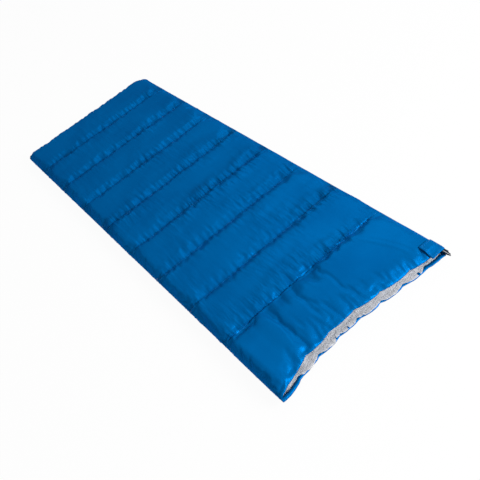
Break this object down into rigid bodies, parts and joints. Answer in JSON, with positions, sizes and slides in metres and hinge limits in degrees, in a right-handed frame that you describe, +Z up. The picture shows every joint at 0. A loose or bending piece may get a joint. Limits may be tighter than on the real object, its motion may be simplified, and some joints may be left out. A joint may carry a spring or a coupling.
{
  "type": "rectangular sleeping bag",
  "caption": "Rectangular quilted sleeping bag laid flat: two padded halves hinged at a fold, a side and foot zip with sliders, a draught tube and a closure tab.",
  "frame": {"origin": "centre of the bounding box's base, on the floor that the bag lies on", "axes": "+Z up, +Y from the mouth to the foot, +X from the fold to the zip side"},
  "size_m": [0.705, 1.938, 0.0713],
  "materials": {
    "shell_cloth": "satin polyester taffeta",
    "tab_cloth": "satin polyester taffeta, double layer",
    "lining_cloth": "matt marled polyester and cotton weave",
    "filling": "matt fibre wadding",
    "zip_tape": "matt woven tape",
    "zip_coil": "semi-matt moulded coil",
    "metal": "dark enamelled casting",
    "hook_and_loop": "hook-and-loop pile",
    "label_cloth": "blank printed-label satin"
  },
  "bodies": {
    "lower": {"lower_shell": "shell_cloth", "lower_batting": "filling", "lower_lining": "lining_cloth", "lower_mouth_hem": "lining_cloth", "fold_strip": "shell_cloth", "care_label": "label_cloth", "lower_zip_tape": "zip_tape", "lower_zip_coil": "zip_coil", "lower_mouth_stop": "metal", "lower_foot_stop": "metal"},
    "upper": {"upper_shell": "shell_cloth", "upper_batting": "filling", "upper_lining": "lining_cloth", "upper_mouth_hem": "shell_cloth", "draught_tube": "lining_cloth", "upper_zip_tape": "zip_tape", "upper_zip_coil": "zip_coil", "upper_mouth_stop": "metal", "upper_foot_stop": "metal", "tab_loop_patch": "hook_and_loop"},
    "tab": {"closure_tab": "tab_cloth", "tab_hook_patch": "hook_and_loop"},
    "head_slider": {"head_slider": "metal"},
    "head_outer_pull": {"head_outer_pull": "metal"},
    "head_inner_pull": {"head_inner_pull": "metal"},
    "foot_slider": {"foot_slider": "metal"},
    "foot_outer_pull": {"foot_outer_pull": "metal"}
  },
  "joints": [
    {"name": "fold_hinge", "type": "hinge", "parent": "lower", "child": "upper", "pos_m": [-0.35275, 0, 0.0355], "axis": [0, -1, 0], "range_deg": [0, 180]},
    {"name": "head_slide", "type": "slide", "parent": "lower", "child": "head_slider", "axis": [0, 1, 0], "range_m": [0, 1.81]},
    {"name": "head_outer_pull_hinge", "type": "hinge", "parent": "head_slider", "child": "head_outer_pull", "pos_m": [0.34995, -0.92505, 0.0355], "axis": [0, 0, 1], "range_deg": [0, 180]},
    {"name": "head_inner_pull_hinge", "type": "hinge", "parent": "head_slider", "child": "head_inner_pull", "pos_m": [0.33925, -0.92505, 0.0355], "axis": [0, 0, -1], "range_deg": [0, 180]},
    {"name": "foot_slide", "type": "slide", "parent": "lower", "child": "foot_slider", "axis": [1, 0, 0], "range_m": [0, 0.6]},
    {"name": "foot_outer_pull_hinge", "type": "hinge", "parent": "foot_slider", "child": "foot_outer_pull", "pos_m": [-0.32655, 0.96645, 0.0355], "axis": [0, 0, 1], "range_deg": [0, 180]},
    {"name": "tab_hinge", "type": "hinge", "parent": "upper", "child": "tab", "pos_m": [0.28845, 0, 0.07066], "axis": [0, -1, 0], "range_deg": [0, 160]}
  ]
}
